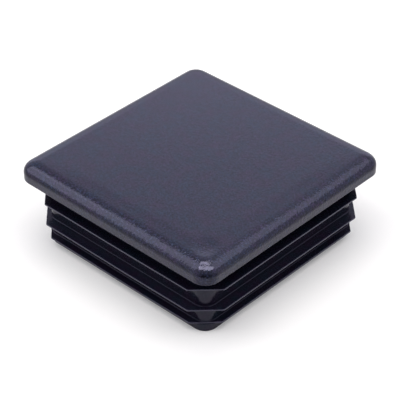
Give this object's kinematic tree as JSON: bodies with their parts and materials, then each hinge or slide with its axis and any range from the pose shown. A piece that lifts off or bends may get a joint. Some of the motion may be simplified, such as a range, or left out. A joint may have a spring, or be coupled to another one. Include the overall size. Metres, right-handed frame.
{
  "type": "tube end cap",
  "caption": "Square push-in cap for the open end of a square tube: flat head with a rounded edge over a hollow skirt ringed by thin gripping fins.",
  "frame": {"origin": "middle of the seat, the plane of the head's underside where the end of the tube stops", "axes": "+Z out of the tube, through the middle of the head; X and Y square to the skirt's walls"},
  "size_m": [0.06, 0.06, 0.0224],
  "materials": {
    "moulded_plastic": "low-density polyethylene, blue-black, fine matt grain on the head, smoother on the skirt and fins"
  },
  "bodies": {
    "root": {"end_cap": "moulded_plastic"}
  },
  "joints": []
}
